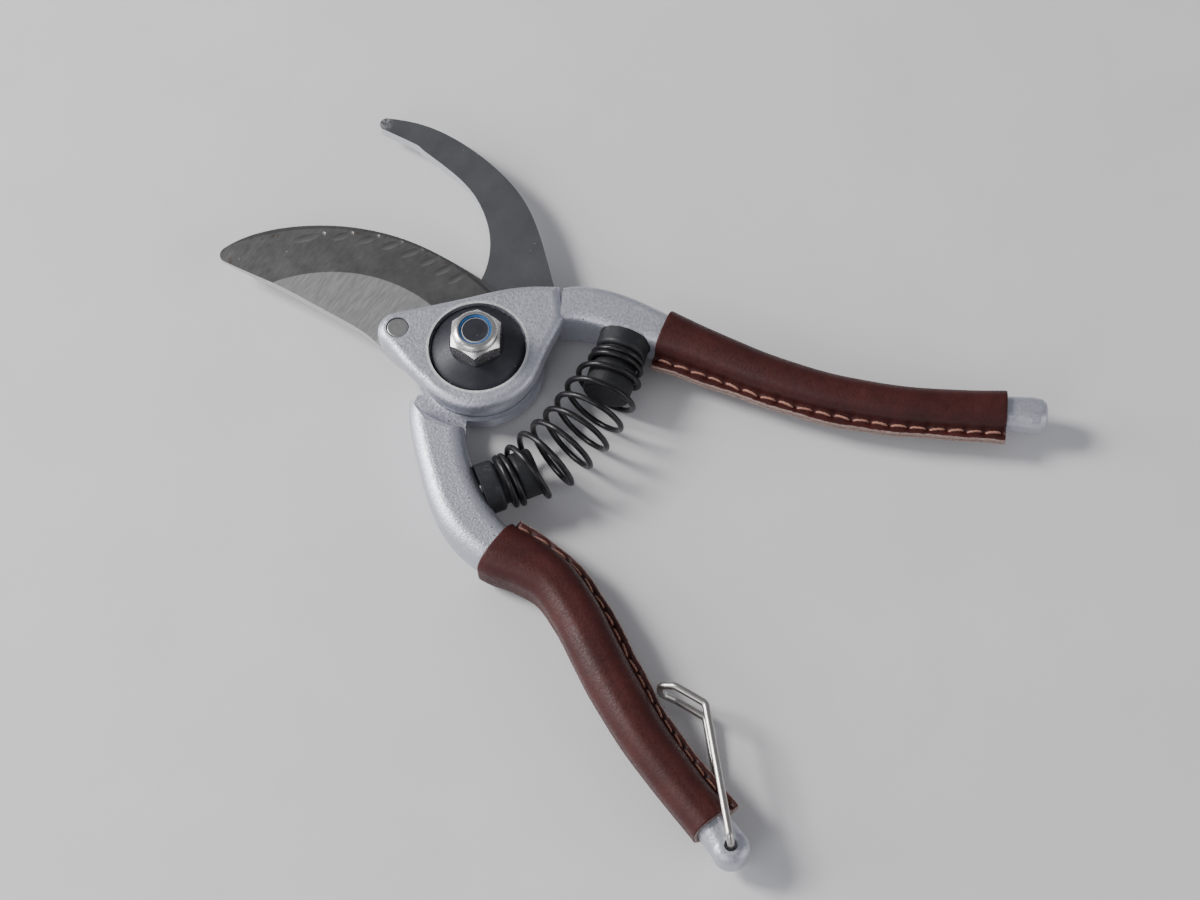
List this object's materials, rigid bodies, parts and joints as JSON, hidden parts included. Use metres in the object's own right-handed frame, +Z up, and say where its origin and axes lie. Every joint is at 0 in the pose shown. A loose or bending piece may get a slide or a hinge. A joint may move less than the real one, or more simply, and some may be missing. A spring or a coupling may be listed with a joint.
{
  "type": "bypass pruning shears",
  "caption": "Bypass pruning shears lying open, with cast handles in sewn leather sleeves, a pivoting blade and hook, a barrel return spring and a wire locking clasp.",
  "frame": {"origin": "on the pivot axis, in the plane of the bolt head's underside, which the tool rests on", "axes": "+Z up the pivot bolt towards the nut, +Y towards the jaws, -Y towards the grips"},
  "size_m": [0.1551, 0.2168, 0.0267],
  "materials": {
    "cast_handle": "satin",
    "blade_steel": "ground satin",
    "hook_steel": "satin",
    "rivet_steel": "satin",
    "black_steel": "satin black",
    "zinc_steel": "bright zinc",
    "bush_brass": "plain",
    "blue_nylon": "matt",
    "black_rubber": "matt",
    "spring_steel": "satin black",
    "brown_leather": "waxed",
    "copper_thread": "waxed thread",
    "clasp_wire": "bright"
  },
  "bodies": {
    "hook_side": {"lower_handle": "cast_handle", "counter_blade": "hook_steel", "counter_blade_rivets": "rivet_steel", "pivot_bolt": "black_steel", "bolt_washer": "zinc_steel", "pivot_bush": "bush_brass", "nut_washer": "black_steel", "pivot_nut": "zinc_steel", "nut_nylon_insert": "blue_nylon", "lower_bumper": "black_rubber", "lower_bumper_peg": "zinc_steel", "coil_spring": "spring_steel", "lower_grip_leather": "brown_leather", "lower_stitching": "copper_thread"},
    "blade_side": {"upper_handle": "cast_handle", "cutting_blade": "blade_steel", "blade_rivet": "rivet_steel", "upper_bumper": "black_rubber", "upper_bumper_peg": "zinc_steel", "upper_grip_leather": "brown_leather", "upper_stitching": "copper_thread"},
    "clasp": {"locking_clasp": "clasp_wire"}
  },
  "joints": [
    {"name": "handle_pivot", "type": "hinge", "parent": "hook_side", "child": "blade_side", "pos_m": [0, 0, 0.0105], "axis": [0, 0, -1], "range_deg": [0, 44], "stiffness_Nm_per_rad": 0.35, "springref_deg": -20.05, "deforming": ["coil_spring"]},
    {"name": "clasp_swing", "type": "hinge", "parent": "hook_side", "child": "clasp", "pos_m": [-0.0752, -0.134, 0.00835], "axis": [0, 0, -1], "range_deg": [0, 200]}
  ]
}
